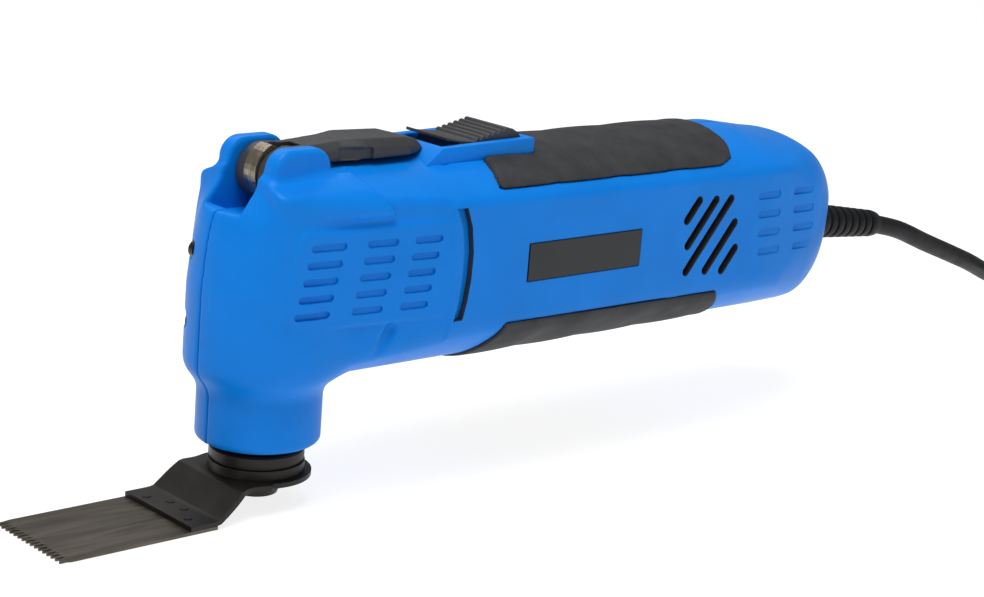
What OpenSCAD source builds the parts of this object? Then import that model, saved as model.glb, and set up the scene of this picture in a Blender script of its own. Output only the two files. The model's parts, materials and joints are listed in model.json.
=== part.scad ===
// Oscillating multi tool, corded, with a flip-over blade clamp lever.
// X runs along the tool towards the cord, Z is up along the spindle.
// The origin is on the spindle axis, at the face the accessory is clamped to.

/* [Housing] */
// Height of the motor axis above the accessory seat
motor_z = 59; // [57:1:61]
// Half width of the motor barrel
barrel_half_w = 29; // [28:0.5:31]
// End of the motor barrel, from the spindle axis
tail_x = 243; // [240:1:260]
// Radius of the collar round the spindle
neck_r = 18.6; // [18.4:0.1:19.4]
// Radius of the gear head above the collar
head_r = 23; // [22.6:0.2:24]
// Height of the two lever ears above the seat
ear_top = 98; // [97:0.5:99]

/* [Blade] */
// Width of the saw blade and of its bracket
blade_w = 34; // [20:1:40]
// Distance from the spindle axis to the blade's teeth
blade_reach = 76.5; // [65:0.5:95]
// Drop from the clamped tongue to the blade
blade_drop = 8.8; // [8:0.1:9.5]
// Thickness of the bracket sheet
bracket_t = 1.5; // [1.2:0.1:1.8]
// Number of saw teeth
tooth_count = 15; // [9:2:21]

/* [Drive] */
// Eccentric throw of the motor shaft
throw = 0.75; // [0.5:0.05:0.9]
// How far the blade drops when the lever is opened
clamp_travel = 2; // [1:0.5:2]
// Travel of the on-off slider
switch_travel = 6.5; // [5:0.5:6.5]

/* [Cord] */
// Diameter of the mains lead
cord_d = 7; // [6:0.5:8]

/* [Hidden] */
$fn = 64;
big = 400;

blue = [0.03, 0.42, 0.86];
black = [0.10, 0.10, 0.11];
rubber = [0.16, 0.16, 0.17];
steel = [0.62, 0.63, 0.65];
bronze = [0.33, 0.30, 0.26];
copper = [0.72, 0.42, 0.20];
alloy = [0.75, 0.76, 0.78];

// Cross-section of the barrel: two shallow arcs cut off by flat sides
crown_r = 47;
crown_z = 43;
belly_r = 35.5;
belly_z = 62.5;
crown_top = crown_z + crown_r;
belly_low = belly_z - belly_r;

head_back_x = 47;
cheek_angle = 7.4;
tail_taper_x = 188;
bore_r = 26.4;
bore_end_x = 188;

// Lever, cam and clamp
pivot_x = 1;
pivot_z = 88.5;
ear_r = 10.3;
ear_corner_r = 6;
ear_in = 6.2;
ear_out = 12.5;
pin_r = 2.5;
cam_low_r = 7.6;
cam_turn = 150;
lever_disc_r = 8.3;
rod_r = 2.9;
spindle_r = 6;
spindle_top = 74;
spring_pocket_r = 4.9;
spring_low = 62;
push_pad_z = 76.2;
push_nose_z = pivot_z - cam_low_r - 0.2;
running = 0.05;

// Bracket and blade stations along X
bend_top_x = -15;
bend_low_x = -24;
bracket_front_x = -34.2;
tongue_r = 16.5;
blade_back_x = -25;
blade_t = 1;
floor_z = -blade_drop - blade_t;
tooth_depth = 2.4;

// Drive train stations along X
ecc_x = 22.5;
ecc_w = 5;
front_bearing_x = 33.5;
fan_x = 45;
core_x0 = 68;
core_x1 = 112;
core_r = 16;
comm_x0 = 126;
comm_x1 = 140;
brush_x = 133;
rear_bearing_x = 147;

// Cord: where it leaves, how it lies, and its coil
relief_tilt = 7;
relief_x = 234;
relief_z = 53.4;
relief_len = 49;
cord_r = cord_d / 2;
coil_x = 474;
coil_turn_r = 43;
coil_columns = 2;
coil_layers = 3;
cord_floor_z = floor_z + cord_r;
relief_end = [relief_x + relief_len * cos(relief_tilt), 0, relief_z - relief_len * sin(relief_tilt)];
cord_route = [
    relief_end,
    [300, 0.5, 44.5], [320, 2, 38], [340, 4.5, 31.3], [360, 8, 24], [380, 13, 16],
    [400, 20, 8.5], [418, 27.5, 2.5], [434, 34.5, -2.5], [448, 39.5, -5.5],
    [461, 42.3, cord_floor_z], [coil_x, coil_turn_r, cord_floor_z]
];
plug_half_w = 17.5;
plug_half_h = 12.8;
plug_rear = [coil_x, 29, floor_z + coil_layers * cord_d + plug_half_h];
// From the top inner turn up to the plug, which lies on the coil
tail_route = [
    [456, -31.2, 7.7], [450.1, -23.9, 9.2], [446.5, -15.9, 10.8], [444.5, -7.9, 12.2],
    [444, 0, 13.8], [444.9, 7.8, 15.8], [448, 15, 17.8], [453, 21, 19.7],
    [459.4, 25.4, 21.5], [466.5, 28, 23], plug_rear
];

// ---------- shared shapes ----------

// Cylinder along X from x0, centred on the motor axis
module along_x(r, x0, len, z = motor_z) {
    translate([x0, 0, z])
        rotate([0, 90, 0])
            cylinder(r = r, h = len);
}

// Cylinder along Y, centred on y = 0 unless y0 is given
module along_y(r, x, z, y0, len) {
    translate([x, y0, z])
        rotate([-90, 0, 0])
            cylinder(r = r, h = len);
}

module ring(r_out, r_in, z0, h) {
    difference() {
        translate([0, 0, z0])
            cylinder(r = r_out, h = h);
        translate([0, 0, z0 - 1])
            cylinder(r = r_in, h = h + 2);
    }
}

module ring_x(r_out, r_in, x0, len, z = motor_z) {
    difference() {
        along_x(r_out, x0, len, z);
        along_x(r_in, x0 - 1, len + 2, z);
    }
}

// Side view outline, pulled out along Y
module side_extrude(half_w, points) {
    rotate([90, 0, 0])
        linear_extrude(2 * half_w, center = true)
            polygon(points);
}

// Barrel section grown or shrunk by d, from x0 to x1
module barrel(d, x0, x1) {
    translate([x0, 0, 0])
        rotate([90, 0, 90])
            linear_extrude(x1 - x0)
                intersection() {
                    translate([0, crown_z])
                        circle(r = crown_r + d, $fn = 128);
                    translate([0, belly_z])
                        circle(r = belly_r + d, $fn = 128);
                    square([2 * (barrel_half_w + d), big], center = true);
                }
}

function arc(cx, cy, r, a0, a1, n) = [
    for (i = [0:n])
        let (a = a0 + (a1 - a0) * i / n)
            [cx + r * cos(a), cy + r * sin(a)]
];

function mirrored(half) = concat(
    half,
    [for (i = [len(half) - 1:-1:0]) [half[i][0], -half[i][1]]]
);

// ---------- housing ----------

// Plan view of the barrel with its rounded tail
tail_corner = 20;
tail_half_w = 26;
tail_plan = mirrored(concat(
    [[head_back_x, barrel_half_w], [tail_taper_x, barrel_half_w]],
    arc(tail_x - tail_corner, tail_half_w - tail_corner, tail_corner, 75, 0, 5)
));

// Side view of the barrel: level, then drawn in towards the cord
tail_side = concat(
    [[head_back_x, belly_low - 2], [tail_taper_x - 10, belly_low - 2]],
    arc(tail_x - 14, 48, 14, -80, 0, 4),
    arc(tail_x - 14, 66, 14, 0, 75, 4),
    [[tail_taper_x, crown_top + 2], [head_back_x, crown_top + 2]]
);

module motor_barrel() {
    intersection() {
        barrel(0, head_back_x, tail_x);
        linear_extrude(big, center = true)
            polygon(tail_plan);
        side_extrude(60, tail_side);
    }
}

// Turned front of the gear head, down to the spindle collar
head_profile = concat(
    [[0, 9.2], [neck_r - 2.1, 9.2], [neck_r, 11.2], [neck_r, 25.2]],
    [[neck_r + 1.2, 27.6], [head_r - 0.6, 31.2], [head_r, 33.5], [head_r, 56]],
    [[head_r - 1.5, 69], [head_r - 3.2, 77], [head_r - 6.2, 84]],
    [[head_r - 9.5, 87.2], [head_r - 13, 88.4], [0, 88.4]]
);

// The cheeks spread from the round front to the barrel; cheek_mid_y is their half width at x = 0
cheek_mid_y = head_r - 0.8;
cheek_front_x = -3;
cheek_plan = mirrored([
    [cheek_front_x, cheek_mid_y + cheek_front_x * tan(cheek_angle)],
    [head_back_x + 2, cheek_mid_y + (head_back_x + 2) * tan(cheek_angle)]
]);
cheek_side = [
    [cheek_front_x, 32], [18, 14], [20.5, 20], [24, 24], [30, 26], [38, 25.5],
    [60, 25.5], [60, 95], [cheek_front_x, 95]
];

module gear_head() {
    rotate_extrude($fn = 96)
        polygon(head_profile);
    intersection() {
        linear_extrude(big, center = true)
            polygon(cheek_plan);
        side_extrude(60, cheek_side);
        barrel(-0.3, -20, head_back_x + 2);
    }
}

// Both ears of the lever fork, before the slot between them is cut
module ear_block() {
    translate([0, ear_out, 0])
        rotate([90, 0, 0])
            linear_extrude(2 * ear_out)
                union() {
                    translate([pivot_x - ear_r, 72])
                        square([2 * ear_r, ear_top - 72 - ear_corner_r]);
                    translate([pivot_x - ear_r + ear_corner_r, 72])
                        square([2 * (ear_r - ear_corner_r), ear_top - 72]);
                    for (s = [-1, 1])
                        translate([pivot_x + s * (ear_r - ear_corner_r), ear_top - ear_corner_r])
                            circle(r = ear_corner_r);
                }
}

module vent_slot(x, z, len, turn) {
    slot_w = 3.2;
    translate([x, 0, z])
        rotate([0, turn, 0])
            union() {
                cube([len - slot_w, 2 * barrel_half_w + 2, slot_w], center = true);
                for (s = [-1, 1])
                    translate([s * (len - slot_w) / 2, 0, 0])
                        rotate([90, 0, 0])
                            cylinder(d = slot_w, h = 2 * barrel_half_w + 2, center = true);
            }
}

// Air inlets: [x, z, length] of each slanted slot
intake_slots = [
    [149.4, 70.4, 11], [154.2, 65.9, 21.5], [158, 61.4, 32.5], [164.1, 57, 22.5], [168.9, 52.2, 12]
];
intake_turn = -50.6;

// Shallow decorative slots on the cheeks, in the plane of one cheek
module cheek_slots() {
    for (column = [0:2])
        for (row = [0:4])
            translate([6.5 + 16.5 * column, cheek_mid_y * cos(cheek_angle), 73.8 - 4.9 * row])
                cube([11.5, 1.2, 2], center = true);
}

module rear_slots() {
    for (column = [0:1])
        for (row = [0:3])
            translate([192 + 13.5 * column, barrel_half_w - 0.4, 74.5 - 7 * row])
                cube([7.5, 1.2, 2.2], center = true);
}

module both_sides() {
    children();
    mirror([0, 1, 0])
        children();
}

screw_sites = [
    [-18.3, 66], [-18.3, 45], [38, 34], [39, 83], [196, 34.5], [196, 83.5], [228, 43.5], [229, 72]
];
screw_r = 1.5;
screw_head_r = 2.7;
screw_head_y = 7.5;
slit_x = 49;
grip_recess = 1.6;
label_len = 48.4;
label_h = 11.6;
label_mid_x = 101.6;
label_mid_z = 60.6;
label_pocket = 0.6;
bezel_x0 = 53;
bezel_x1 = 91;
bezel_half_w = 13;
bezel_floor_z = 86.8;

module label_shape(grow, y0, t) {
    translate([label_mid_x, y0, label_mid_z])
        rotate([90, 0, 0])
            linear_extrude(t)
                square([label_len + 2 * grow, label_h + 2 * grow], center = true);
}

// Side outline of the two soft grips
top_grip_side = concat(
    [[57, 96], [60, 90], [66.5, 83.8], [164, 83.8]],
    arc(166, 94, 10, -60, 0, 4),
    [[179, 96]]
);
bottom_grip_side = [[64, 24], [66, 32], [70.5, 42.2], [165, 41.4], [171, 35], [177, 24]];

module grip_band(grow, outline) {
    intersection() {
        difference() {
            barrel(grow, 50, 200);
            barrel(-grip_recess, 49, 201);
        }
        side_extrude(60, outline);
    }
}

module drive_cavity() {
    translate([0, 0, 9])
        cylinder(r = 13.2, h = 3);
    translate([0, 0, 10.5])
        cylinder(r = 16, h = 63.2);
    translate([0, 0, 73])
        cylinder(r = 15.5, h = 3.6);
    translate([0, -17, 40])
        cube([34, 34, 33.7]);
    along_x(14.5, 30, 13);
}

module housing_inside() {
    drive_cavity();
    along_x(bore_r, 42.5, bore_end_x - 42.5);
    translate([64, -3, 85])
        cube([17, 6, 8]);
    translate([186, -18, 42])
        cube([40, 36, 34]);
    // open slot for the cam and its push rod
    translate([-40, -ear_in, 81.5])
        cube([40 + pivot_x + 11, 2 * ear_in, 40]);
    translate([0, 0, 76])
        cylinder(r = 6.4, h = 14);
    // seat of the strain relief
    relief_axis()
        translate([0, 0, -9])
            cylinder(r = 4.5, h = 30);
    relief_axis()
        cylinder(r = 8.6, h = 4);
    relief_axis()
        cylinder(r = 6.1, h = 30);
}

module relief_axis() {
    translate([relief_x, 0, relief_z])
        rotate([0, 90 + relief_tilt, 0])
            children();
}

module screw_holes() {
    for (p = screw_sites) {
        along_y(screw_r, p[0], p[1], -9, 18);
        along_y(screw_head_r + 0.2, p[0], p[1], screw_head_y, 40);
    }
}

module housing() {
    difference() {
        union() {
            difference() {
                union() {
                    motor_barrel();
                    gear_head();
                    ear_block();
                }
                housing_inside();
            }
            // rib that holds the rear bearing
            ring_x(bore_r + 1, 12, 146.5, 7);
        }
        // channel for the switch link, through the bearing rib too
        translate([54, -5, 80])
            cube([132, 10, 8.2]);
        // room for the lever's two discs and the cam between them
        along_y(lever_disc_r + 0.4, pivot_x, pivot_z, -6.1, 12.2);
        along_y(cam_low_r + clamp_travel + 0.5, pivot_x, pivot_z, -3.2, 6.4);
        along_y(pin_r, pivot_x, pivot_z, -10.5, 21);
        grip_band(5, top_grip_side);
        grip_band(5, bottom_grip_side);
        translate([bezel_x0, -bezel_half_w, bezel_floor_z])
            cube([bezel_x1 - bezel_x0, 2 * bezel_half_w, 20]);
        both_sides()
            label_shape(0.3, barrel_half_w + 1, 1 + label_pocket);
        for (s = intake_slots)
            vent_slot(s[0], s[1], s[2], intake_turn);
        both_sides() {
            translate([slit_x, 20, 45.5])
                cube([3, 20, 34]);
            rotate([0, 0, cheek_angle])
                cheek_slots();
            rear_slots();
        }
        screw_holes();
    }
}

module housing_left() {
    color(blue)
        intersection() {
            housing();
            translate([-100, -100, -20])
                cube([big, 100, 150]);
        }
}

module housing_right() {
    color(blue)
        intersection() {
            housing();
            translate([-100, 0, -20])
                cube([big, 100, 150]);
        }
}

module housing_screws() {
    color(steel)
        for (p = screw_sites) {
            along_y(screw_r, p[0], p[1], -8, 8 + screw_head_y);
            along_y(screw_head_r, p[0], p[1], screw_head_y, 2);
        }
}

module top_grip() {
    color(rubber)
        difference() {
            grip_band(0.8, top_grip_side);
            translate([bezel_x0 - 10, -bezel_half_w, 80])
                cube([bezel_x1 - bezel_x0 + 10, 2 * bezel_half_w, 20]);
        }
}

module bottom_grip() {
    color(rubber)
        grip_band(0.8, bottom_grip_side);
}

module label_plate_left() {
    color(black)
        mirror([0, 1, 0])
            label_shape(0, barrel_half_w + 0.2, 0.2 + label_pocket);
}

module label_plate_right() {
    color(black)
        label_shape(0, barrel_half_w + 0.2, 0.2 + label_pocket);
}

// ---------- switch ----------

bezel_top = 94.5;
slider_x0 = 63;
slider_x1 = 88.2;
slider_half_w = 9.6;
slider_low = 90.4;
link_low = 85.4;

module switch_bezel() {
    color(blue)
        difference() {
            translate([bezel_x0, -bezel_half_w, bezel_floor_z])
                cube([bezel_x1 - bezel_x0, 2 * bezel_half_w, bezel_top - bezel_floor_z]);
            translate([bezel_x0 + 3, -slider_half_w - 0.4, 90])
                cube([slider_x1 + 0.4 - bezel_x0 - 3, 2 * slider_half_w + 0.8, 10]);
            translate([64, -3, 80])
                cube([17, 6, 20]);
        }
}

module switch_slider() {
    wedge = [
        [slider_x0, slider_low], [slider_x1, slider_low], [slider_x1, 94.4], [87, 96.4],
        [80, 97.6], [70, 94.2], [slider_x0 + 3, 95.4], [60, 96.6], [60, 95.4], [slider_x0, 94.9]
    ];
    rib_count = 4;
    color(black)
        difference() {
            side_extrude(slider_half_w, wedge);
            for (i = [0:rib_count - 1])
                translate([72.5 + 2.4 * i, 0, 95.2 + 0.8 * i])
                    rotate([0, -19, 0])
                        cube([1.1, 17, 1], center = true);
        }
}

module switch_link_bar() {
    color(black)
        union() {
            translate([66, -4, link_low])
                cube([107, 8, 1.2]);
            translate([72, -2.6, link_low + 1])
                cube([6, 5.2, slider_low - link_low - 1]);
            translate([170, -2, 81])
                cube([3, 4, 5]);
        }
}

module switch_module() {
    color(black)
        difference() {
            translate([160, -8, 71])
                cube([22, 16, 12.4]);
            translate([162, -2.6, 79])
                cube([14, 5.2, 10]);
        }
}

// ---------- lever and clamp ----------

// Cam edge: its radius grows evenly with the turn, measured from the lowest point
cam_points = concat(
    [for (a = [0:10:cam_turn + 10])
        let (r = cam_low_r + clamp_travel * min(a, cam_turn) / cam_turn)
            [-r * sin(a), -r * cos(a)]],
    [for (a = [200:20:350])
        let (r = cam_low_r - 0.4)
            [-r * sin(a), -r * cos(a)]]
);

module release_cam() {
    cam_half_w = 2.7;
    color(bronze)
        difference() {
            union() {
                translate([pivot_x, cam_half_w, pivot_z])
                    rotate([90, 0, 0])
                        linear_extrude(2 * cam_half_w)
                            polygon(cam_points);
                translate([pivot_x, -cam_half_w, 91])
                    cube([12, 2 * cam_half_w, 2.2]);
            }
            along_y(pin_r + running, pivot_x, pivot_z, -10, 20);
        }
}

lever_plan = mirrored([[pivot_x, 5.9], [20, 5.9], [26, 9.5], [44, 9.5], [52.2, 5.5]]);
lever_side = [[pivot_x, 91], [52.4, 91], [52.4, 95.8], [44, 97.6], [24, 98], [12, 97.2], [pivot_x, 96.6]];

module lever_handle() {
    color(black)
        difference() {
            union() {
                intersection() {
                    linear_extrude(big)
                        polygon(lever_plan);
                    side_extrude(20, lever_side);
                }
                both_sides()
                    along_y(lever_disc_r, pivot_x, pivot_z, 2.9, 3);
            }
            along_y(pin_r + running, pivot_x, pivot_z, -10, 20);
            // room for the cam between the two cheeks
            translate([pivot_x - 15, -2.9, pivot_z - 12])
                cube([28, 5.8, 17]);
            translate([pivot_x - 15, -2.9, 93])
                cube([21, 5.8, 8]);
        }
}

module lever_pivot_pin() {
    color(steel)
        along_y(pin_r, pivot_x, pivot_z, -10.5, 21);
}

module push_rod() {
    color(steel)
        union() {
            translate([0, 0, 30])
                cylinder(r = rod_r, h = push_nose_z - 30);
            translate([0, 0, push_pad_z])
                cylinder(r = 5.4, h = 3);
        }
}

module clamp_bolt() {
    head_low = -7.4;
    color(bronze)
        difference() {
            union() {
                translate([0, 0, -bracket_t - 2.6])
                    cylinder(r = 8.2, h = 2.6);
                translate([0, 0, head_low])
                    cylinder(r1 = 6.8, r2 = 8, h = -bracket_t - 2.6 - head_low);
                translate([0, 0, -bracket_t])
                    cylinder(r = rod_r, h = 30 + bracket_t);
            }
            translate([0, 0, head_low - 1])
                cylinder(d = 7, h = 4, $fn = 6);
        }
}

module clamp_spring() {
    rings = 7;
    pitch = (push_pad_z - spring_low) / rings;
    color(steel)
        for (i = [0:rings - 1])
            translate([0, 0, spring_low + i * pitch])
                rotate_extrude()
                    translate([3.2, 0])
                        square([1.4, pitch - 0.3]);
}

module spindle() {
    color(bronze)
        difference() {
            rotate_extrude()
                polygon([
                    [rod_r + running, 0], [14.4, 0], [14.4, 3], [13.6, 3.2], [13.6, 3.8],
                    [14.2, 4], [14.2, 6.6], [13.6, 7.2], [9, 7.2], [9, 12.8], [spindle_r, 12.8],
                    [spindle_r, spindle_top], [spring_pocket_r, spindle_top],
                    [spring_pocket_r, spring_low], [rod_r + running, spring_low]
                ]);
        }
}

fork_in = 9.95;
fork_out = 13.95;

module spindle_fork() {
    color(steel)
        difference() {
            union() {
                translate([0, 0, 50])
                    cylinder(r = 11, h = 16);
                translate([-4, -fork_out, 53])
                    cube([15, 2 * fork_out, 12]);
                both_sides()
                    translate([8, fork_in, 53])
                        cube([22, fork_out - fork_in, 12]);
            }
            translate([0, 0, 40])
                cylinder(r = spindle_r, h = 40);
        }
}

module lower_spindle_bearing() {
    color(steel)
        ring(14, spindle_r + running, 13.2, 8);
}

module upper_spindle_bearing() {
    color(steel)
        ring(12, spindle_r + running, 67.5, 6);
}

module bearing_cap() {
    color(alloy)
        difference() {
            ring(15.5, 6.8, 73.7, 2.3);
            cap_screw_holes();
        }
}

module cap_screw_holes() {
    for (a = [60, 180, 300])
        rotate([0, 0, a])
            translate([13.8, 0, 66])
                cylinder(r = 1, h = 12);
}

module bearing_cap_screws() {
    color(steel)
        for (a = [60, 180, 300])
            rotate([0, 0, a])
                translate([13.8, 0, 0]) {
                    translate([0, 0, 68])
                        cylinder(r = 1, h = 8);
                    translate([0, 0, 76])
                        cylinder(r = 1.6, h = 0.5);
                }
}

module gear_case() {
    color(alloy)
        difference() {
            union() {
                translate([0, 0, 10.5])
                    cylinder(r = 16, h = 63.2);
                translate([0, -17, 40])
                    cube([34, 34, 33.7]);
                along_x(14.5, 30, 12);
            }
            translate([0, 0, 9])
                cylinder(r = 9.6, h = 5);
            translate([0, 0, 13.2])
                cylinder(r = 14, h = 8);
            translate([0, 0, 20])
                cylinder(r = 12.5, h = 26);
            translate([0, 0, 44])
                cylinder(r = 14.8, h = 22.5);
            translate([0, -15.2, 44])
                cube([32, 30.4, 22.5]);
            translate([0, -11, 44])
                cube([32, 22, 26]);
            translate([0, 0, 66])
                cylinder(r = 10, h = 2);
            translate([0, 0, 67.5])
                cylinder(r = 12, h = 8);
            along_x(6, 30, 5);
            along_x(11, front_bearing_x, 10);
            cap_screw_holes();
        }
}

module dust_seal() {
    color(rubber)
        ring(13.2, 9.1, 7.8, 2.7);
}

// ---------- motor ----------

module eccentric_bearing() {
    color(steel)
        ring_x(8, 2.5, ecc_x, ecc_w, motor_z + throw);
}

module motor_shaft() {
    color(steel)
        union() {
            along_x(2.5, ecc_x - 0.5, 9, motor_z + throw);
            along_x(4, 31, 13);
            along_x(5, 44, 102);
            along_x(3, 146, 9);
        }
}

module front_motor_bearing() {
    color(steel)
        ring_x(11, 4 + running, front_bearing_x, 7);
}

module rear_motor_bearing() {
    color(steel)
        ring_x(9.5, 3 + running, rear_bearing_x, 6);
}

module rear_bearing_seat() {
    color(rubber)
        ring_x(12, 9.5, 146.5, 7);
}

module armature_core() {
    slot_count = 12;
    color(steel)
        difference() {
            ring_x(core_r, 5, core_x0, core_x1 - core_x0);
            for (i = [0:slot_count - 1])
                translate([core_x0 - 1, 0, motor_z])
                    rotate([i * 360 / slot_count, 0, 0])
                        translate([0, -0.8, 11])
                            cube([core_x1 - core_x0 + 2, 1.6, 6]);
        }
}

module armature_windings() {
    color(copper)
        for (x0 = [59, core_x1])
            translate([x0, 0, motor_z])
                rotate([0, 90, 0])
                    rotate_extrude()
                        polygon([[5, 0], [13, 0], [15, 2], [15, 7], [13, 9], [5, 9]]);
}

module commutator() {
    bar_count = 24;
    color(copper)
        difference() {
            ring_x(10, 5, comm_x0, comm_x1 - comm_x0);
            for (i = [0:bar_count - 1])
                translate([comm_x0 - 1, 0, motor_z])
                    rotate([i * 360 / bar_count, 0, 0])
                        translate([0, -0.25, 9])
                            cube([comm_x1 - comm_x0 + 2, 0.5, 2]);
        }
}

module cooling_fan() {
    blade_count = 11;
    color(black)
        difference() {
            union() {
                along_x(24.5, fan_x + 7.5, 2);
                along_x(8, fan_x, 8);
                for (i = [0:blade_count - 1])
                    translate([fan_x, 0, motor_z])
                        rotate([i * 360 / blade_count, 0, 0])
                            translate([0, -0.75, 7])
                                cube([8, 1.5, 17]);
            }
            along_x(5, fan_x - 2, 20);
        }
}

module air_baffle() {
    color(black)
        ring_x(bore_r, 20, 56, 2);
}

stator_r = 26;
stator_bore = 16.6;

module coil_space(x0, x1) {
    intersection() {
        ring_x(23.4, 17.4, x0, x1 - x0);
        both_sides()
            translate([x0, 0, motor_z])
                rotate([-45, 0, 0])
                    cube([x1 - x0, 40, 40]);
    }
}

module stator_core() {
    color(steel)
        difference() {
            ring_x(stator_r, stator_bore, core_x0, core_x1 - core_x0);
            coil_space(core_x0 - 1, core_x1 + 1);
        }
}

module field_coils() {
    color(copper)
        coil_space(59.5, 121);
}

module brush_holders() {
    color(bronze)
        both_sides()
            difference() {
                translate([brush_x - 5, 11, motor_z - 5])
                    cube([10, 14.5, 10]);
                translate([brush_x - 3.3, 10, motor_z - 3.3])
                    cube([6.6, 14, 6.6]);
            }
}

module carbon_brushes() {
    color(black)
        both_sides()
            translate([brush_x - 3.3, 10.1, motor_z - 3.3])
                cube([6.6, 7.4, 6.6]);
}

module brush_springs() {
    ring_count = 4;
    color(steel)
        both_sides()
            for (i = [0:ring_count - 1])
                translate([brush_x, 18.2 + 1.6 * i, motor_z])
                    rotate([90, 0, 0])
                        rotate_extrude()
                            translate([2.2, 0])
                                circle(r = 0.4, $fn = 24);
}

module control_board() {
    color([0.05, 0.35, 0.15])
        union() {
            translate([190, -15, 60])
                cube([32, 30, 1.6]);
            translate([194, -10, 61.6])
                cube([9, 8, 6]);
            translate([208, 2, 61.6])
                cube([8, 8, 9]);
        }
}

module suppression_capacitor() {
    color([0.85, 0.75, 0.15])
        translate([160, -8, 38])
            cube([18, 16, 11]);
}

module cord_clamp() {
    color(black)
        difference() {
            translate([216, -12, 42])
                cube([6, 24, 10]);
            along_x(cord_r, 215, 8, 47);
            clamp_screw_holes(1.5);
        }
}

module clamp_screw_holes(r) {
    for (y = [-8.5, 8.5])
        translate([219, y, 42])
            cylinder(r = r, h = 12);
}

module cord_clamp_screws() {
    color(steel)
        union() {
            clamp_screw_holes(1.5);
            for (y = [-8.5, 8.5])
                translate([219, y, 52])
                    cylinder(r = 2.6, h = 2);
        }
}

// ---------- accessory ----------

bracket_line = [
    [bracket_front_x, -blade_drop], [bend_low_x - 0.5, -blade_drop],
    [bend_top_x - 0.4, -bracket_t], [0, -bracket_t], [0, 0], [bend_top_x - 1.4, 0],
    [bend_low_x - 1.5, bracket_t - blade_drop], [bracket_front_x, bracket_t - blade_drop]
];
rivet_sites = [[-31, -10.5], [-31, 10.5], [-27.5, -3.5], [-27.5, 3.5]];
rivet_r = 1.2;

module blade_bracket() {
    color(bronze)
        difference() {
            union() {
                intersection() {
                    side_extrude(blade_w / 2, bracket_line);
                    translate([bracket_front_x - 1, -blade_w / 2, -20])
                        cube([-bracket_front_x - 4, blade_w, 40]);
                }
                translate([-8, -12, -bracket_t])
                    cube([8, 24, bracket_t]);
                translate([0, 0, -bracket_t])
                    cylinder(r = tongue_r, h = bracket_t);
            }
            translate([0, 0, -5])
                cylinder(r = 5, h = 10);
            rivet_holes();
        }
}

module rivet_holes() {
    for (p = rivet_sites)
        translate([p[0], p[1], floor_z - 1])
            cylinder(r = rivet_r, h = 4);
}

module blade_rivets() {
    color(steel)
        for (p = rivet_sites)
            translate([p[0], p[1], floor_z])
                cylinder(r = rivet_r, h = blade_t + bracket_t + 0.2);
}

tooth_pitch = blade_w / tooth_count;
tooth_line = [
    for (i = [0:tooth_count - 1])
        each [
            [-blade_reach + tooth_depth, -blade_w / 2 + i * tooth_pitch],
            [-blade_reach, -blade_w / 2 + (i + 0.5) * tooth_pitch],
            [-blade_reach + tooth_depth, -blade_w / 2 + (i + 0.85) * tooth_pitch]
        ]
];

module saw_blade() {
    color(bronze)
        difference() {
            translate([0, 0, floor_z])
                linear_extrude(blade_t)
                    polygon(concat(
                        tooth_line,
                        [[-blade_reach + tooth_depth, blade_w / 2], [blade_back_x, blade_w / 2],
                        [blade_back_x, -blade_w / 2]]
                    ));
            rivet_holes();
        }
}

// ---------- cord ----------

module strain_relief() {
    rib_count = 5;
    taper = (6 - 4.6) / relief_len;
    color(black)
        relief_axis()
            difference() {
                union() {
                    cylinder(r = 8.5, h = 3.8);
                    cylinder(r1 = 6, r2 = 4.6, h = relief_len);
                    cylinder(r = 5.9, h = 12);
                }
                for (i = [0:rib_count - 1])
                    let (z = 19 + 5.2 * i, r = 6 - taper * z)
                        difference() {
                            translate([0, 0, z])
                                cylinder(r = 8, h = 1.8);
                            translate([0, 0, z])
                                cylinder(r = r - 1, h = 1.8);
                        }
            }
}

function unit(v) = v / norm(v);
function heading(route, i) = unit(route[min(i + 1, len(route) - 1)] - route[max(i - 1, 0)]);
function across(h) = unit(cross(h, [0, 0, 1]));

// One ring of points round the route at point i
function tube_ring(route, i, r, sides) =
    let (h = heading(route, i), u = across(h), v = cross(u, h))
        [for (k = [0:sides - 1])
            let (a = 360 * k / sides)
                route[i] + r * cos(a) * u + r * sin(a) * v];

module tube(route, r, sides = 10) {
    rings = len(route);
    points = [for (i = [0:rings - 1]) each tube_ring(route, i, r, sides)];
    walls = [
        for (i = [0:rings - 2])
            for (k = [0:sides - 1])
                let (n = (k + 1) % sides)
                    [i * sides + k, (i + 1) * sides + k, (i + 1) * sides + n, i * sides + n]
    ];
    first_cap = [for (k = [0:sides - 1]) k];
    last_cap = [for (k = [sides - 1:-1:0]) (rings - 1) * sides + k];
    polyhedron(points, concat([first_cap], walls, [last_cap]), convexity = 6);
}

module cord_tube() {
    color(black)
        union() {
            tube(cord_route, cord_r);
            tube(tail_route, cord_r);
        }
}

module cord_coil() {
    coil_out = coil_turn_r + cord_r;
    coil_in = coil_out - coil_columns * cord_d;
    color(black)
        translate([coil_x, 0, floor_z])
            rotate_extrude()
                translate([coil_in, 0])
                    square([coil_out - coil_in, coil_layers * cord_d]);
}

// The plug lies on the coil with its pins away from the tool
module plug_axis() {
    translate(plug_rear)
        rotate([0, 90, 0])
            children();
}

pin_gap = 9.5;
plug_pin_r = 2.4;
plug_shank_r = 1.9;
plug_face = 44;

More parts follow.
